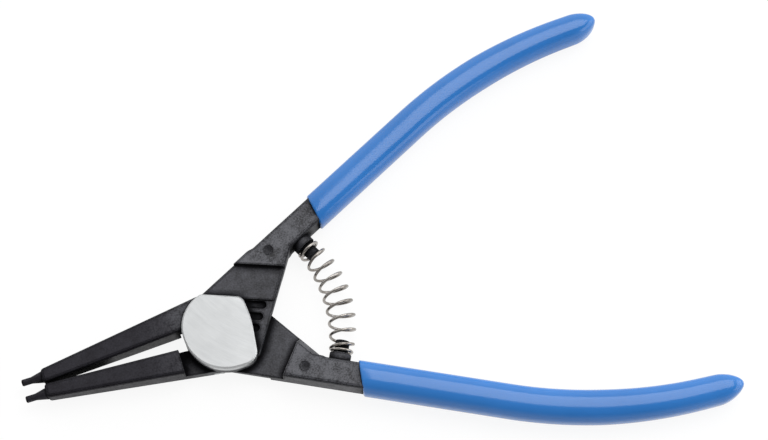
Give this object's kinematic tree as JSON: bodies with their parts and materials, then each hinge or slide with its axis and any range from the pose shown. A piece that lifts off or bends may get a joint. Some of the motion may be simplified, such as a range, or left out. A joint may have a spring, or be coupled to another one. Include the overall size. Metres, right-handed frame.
{
  "type": "circlip pliers",
  "caption": "External circlip pliers with lapped forged arms on a rivet, straight pin tips, dipped handles and a bowed coil spring that holds the jaws closed.",
  "frame": {"origin": "on the hinge axis, at the rear ground face that the pliers lie on", "axes": "+X from the hinge towards the handle ends, +Z along the hinge axis out of the front ground face"},
  "size_m": [0.1809, 0.119, 0.009],
  "materials": {
    "forged_black": "black phosphated forging",
    "ground_steel": "ground",
    "grip_blue": "dipped, glossy",
    "spring_steel": "drawn wire"
  },
  "bodies": {
    "rear_arm": {"lower_arm": "forged_black", "lower_grip": "grip_blue", "lower_spring_peg": "forged_black", "return_spring": "spring_steel"},
    "front_arm": {"upper_arm": "forged_black", "upper_grip": "grip_blue", "upper_spring_peg": "forged_black", "pivot_rivet": "ground_steel"}
  },
  "joints": [
    {"name": "arm_pivot", "type": "hinge", "parent": "rear_arm", "child": "front_arm", "pos_m": [0, 0, 0], "axis": [0, 0, -1], "range_deg": [0, 40], "stiffness_Nm_per_rad": 1.2, "springref_deg": -17.19, "deforming": ["return_spring"]}
  ]
}
